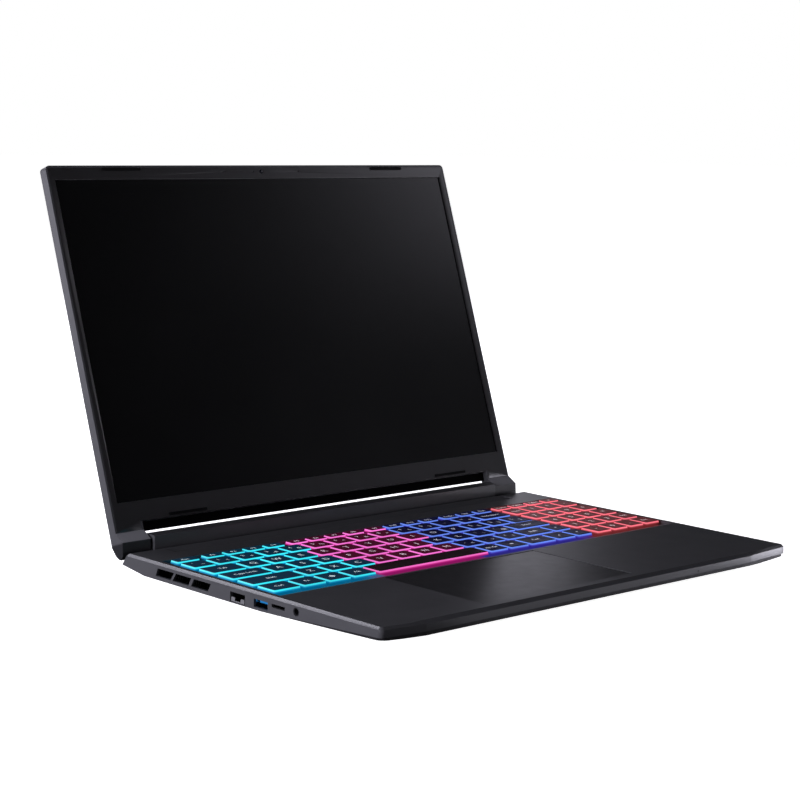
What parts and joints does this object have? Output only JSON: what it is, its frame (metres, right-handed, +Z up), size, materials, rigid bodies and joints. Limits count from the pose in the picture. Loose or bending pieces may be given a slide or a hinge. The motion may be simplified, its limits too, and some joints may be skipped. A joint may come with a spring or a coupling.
{
  "type": "laptop computer",
  "caption": "Open laptop computer with a friction-hinged screen, lit keyboard, clicking touchpad, ports and a cooled base.",
  "frame": {"origin": "middle of the open laptop's footprint, on the desk it stands on", "axes": "+Z up, +X to the user's right, the user sits on the -Y side"},
  "size_m": [0.36, 0.3468, 0.2588],
  "materials": {
    "case": "fine matt texture, charcoal black",
    "cover": "matt black",
    "keycap": "matt black with translucent lit skirts",
    "key_light": "translucent light guide, lit in four colours",
    "screen": "anti-glare black, display off",
    "bezel": "matt dark grey",
    "rubber": "soft matt",
    "touchpad": "smooth satin",
    "steel": "plain",
    "chrome": "plated connector shell",
    "screw": "black oxide",
    "board": "solder-masked circuit board",
    "battery": "black wrap",
    "copper": "copper",
    "fins": "thin bare fins",
    "fan": "black moulding",
    "speaker": "black moulding",
    "light": "small light pipe"
  },
  "bodies": {
    "base": {"top_case": "case", "bottom_cover": "cover", "rear_housing": "cover", "hinge_bar_cover": "case", "rubber_feet": "rubber", "cover_screws": "screw", "keyboard_plate": "steel", "backlight_sheet": "key_light", "touchpad_bracket": "steel", "click_switch": "steel", "motherboard": "board", "memory_modules": "board", "storage_drive": "board", "wifi_card": "board", "battery": "battery", "cold_plate": "copper", "heat_pipes": "copper", "side_fin_stacks": "fins", "rear_fin_stacks": "fins", "left_fan_housing": "fan", "right_fan_housing": "fan", "left_speaker": "speaker", "right_speaker": "speaker", "network_jack": "cover", "left_usb_port": "chrome", "card_slot": "chrome", "audio_jack": "cover", "status_light": "light", "right_usb_ports": "chrome", "hdmi_port": "chrome", "usb_c_port": "chrome", "power_inlet": "cover", "hinge_brackets": "steel"},
    "lid": {"lid_back_cover": "case", "display_bezel": "bezel", "display_panel": "screen", "webcam_module": "cover", "lid_bumpers": "rubber", "hinge_shafts": "steel"},
    "left_fan_rotor": {"left_fan_rotor": "fan"},
    "right_fan_rotor": {"right_fan_rotor": "fan"},
    "network_jack_flap": {"network_jack_flap": "cover"},
    "touchpad": {"touchpad": "touchpad"},
    "space_key": {"space_key": "keycap"},
    "enter_key": {"enter_key": "keycap"},
    "backspace_key": {"backspace_key": "keycap"},
    "tab_key": {"tab_key": "keycap"},
    "caps_lock_key": {"caps_lock_key": "keycap"},
    "left_shift_key": {"left_shift_key": "keycap"},
    "right_shift_key": {"right_shift_key": "keycap"},
    "escape_key": {"escape_key": "keycap"},
    "power_key": {"power_key": "keycap"},
    "modifier_keys": {"modifier_keys": "keycap"},
    "arrow_keys": {"arrow_keys": "keycap"},
    "lower_letter_keys": {"lower_letter_keys": "keycap"},
    "home_letter_keys": {"home_letter_keys": "keycap"},
    "upper_letter_keys": {"upper_letter_keys": "keycap"},
    "number_keys": {"number_keys": "keycap"},
    "function_keys": {"function_keys": "keycap"},
    "keypad_keys": {"keypad_keys": "keycap"}
  },
  "joints": [
    {"name": "lid_hinge", "type": "hinge", "parent": "base", "child": "lid", "pos_m": [0, 0.08328, 0.0188], "axis": [1, 0, 0], "range_deg": [-30, 109.07]},
    {"name": "left_fan_spin", "type": "hinge", "parent": "base", "child": "left_fan_rotor", "pos_m": [-0.117, 0.02008, 0.01], "axis": [0, 0, 1], "continuous": true},
    {"name": "right_fan_spin", "type": "hinge", "parent": "base", "child": "right_fan_rotor", "pos_m": [0.117, 0.02008, 0.01], "axis": [0, 0, 1], "continuous": true},
    {"name": "network_flap_swing", "type": "hinge", "parent": "base", "child": "network_jack_flap", "pos_m": [-0.1795, -0.04222, 0.00815], "axis": [0, -1, 0], "range_deg": [0, 60], "stiffness_Nm_per_rad": 0.001, "springref_deg": -17.19},
    {"name": "touchpad_click", "type": "hinge", "parent": "base", "child": "touchpad", "pos_m": [-0.032, -0.07952, 0.0166], "axis": [1, 0, 0], "range_deg": [0, 0.3], "stiffness_Nm_per_rad": 2, "springref_deg": -1.15},
    {"name": "space_press", "type": "slide", "parent": "base", "child": "space_key", "axis": [0, 0, -1], "range_m": [0, 0.0016], "stiffness_N_per_m": 250, "springref_m": -0.001},
    {"name": "enter_press", "type": "slide", "parent": "base", "child": "enter_key", "axis": [0, 0, -1], "range_m": [0, 0.0016], "stiffness_N_per_m": 250, "springref_m": -0.001},
    {"name": "backspace_press", "type": "slide", "parent": "base", "child": "backspace_key", "axis": [0, 0, -1], "range_m": [0, 0.0016], "stiffness_N_per_m": 250, "springref_m": -0.001},
    {"name": "tab_press", "type": "slide", "parent": "base", "child": "tab_key", "axis": [0, 0, -1], "range_m": [0, 0.0016], "stiffness_N_per_m": 250, "springref_m": -0.001},
    {"name": "caps_lock_press", "type": "slide", "parent": "base", "child": "caps_lock_key", "axis": [0, 0, -1], "range_m": [0, 0.0016], "stiffness_N_per_m": 250, "springref_m": -0.001},
    {"name": "left_shift_press", "type": "slide", "parent": "base", "child": "left_shift_key", "axis": [0, 0, -1], "range_m": [0, 0.0016], "stiffness_N_per_m": 250, "springref_m": -0.001},
    {"name": "right_shift_press", "type": "slide", "parent": "base", "child": "right_shift_key", "axis": [0, 0, -1], "range_m": [0, 0.0016], "stiffness_N_per_m": 250, "springref_m": -0.001},
    {"name": "escape_press", "type": "slide", "parent": "base", "child": "escape_key", "axis": [0, 0, -1], "range_m": [0, 0.0016], "stiffness_N_per_m": 250, "springref_m": -0.001},
    {"name": "power_press", "type": "slide", "parent": "base", "child": "power_key", "axis": [0, 0, -1], "range_m": [0, 0.0016], "stiffness_N_per_m": 250, "springref_m": -0.001},
    {"name": "modifier_press", "type": "slide", "parent": "base", "child": "modifier_keys", "axis": [0, 0, -1], "range_m": [0, 0.0016], "stiffness_N_per_m": 1750, "springref_m": -0.001},
    {"name": "arrow_press", "type": "slide", "parent": "base", "child": "arrow_keys", "axis": [0, 0, -1], "range_m": [0, 0.0016], "stiffness_N_per_m": 1000, "springref_m": -0.001},
    {"name": "lower_letter_press", "type": "slide", "parent": "base", "child": "lower_letter_keys", "axis": [0, 0, -1], "range_m": [0, 0.0016], "stiffness_N_per_m": 2500, "springref_m": -0.001},
    {"name": "home_letter_press", "type": "slide", "parent": "base", "child": "home_letter_keys", "axis": [0, 0, -1], "range_m": [0, 0.0016], "stiffness_N_per_m": 2750, "springref_m": -0.001},
    {"name": "upper_letter_press", "type": "slide", "parent": "base", "child": "upper_letter_keys", "axis": [0, 0, -1], "range_m": [0, 0.0016], "stiffness_N_per_m": 3250, "springref_m": -0.001},
    {"name": "number_press", "type": "slide", "parent": "base", "child": "number_keys", "axis": [0, 0, -1], "range_m": [0, 0.0016], "stiffness_N_per_m": 3250, "springref_m": -0.001},
    {"name": "function_press", "type": "slide", "parent": "base", "child": "function_keys", "axis": [0, 0, -1], "range_m": [0, 0.0016], "stiffness_N_per_m": 4500, "springref_m": -0.001},
    {"name": "keypad_press", "type": "slide", "parent": "base", "child": "keypad_keys", "axis": [0, 0, -1], "range_m": [0, 0.0016], "stiffness_N_per_m": 4750, "springref_m": -0.001}
  ]
}
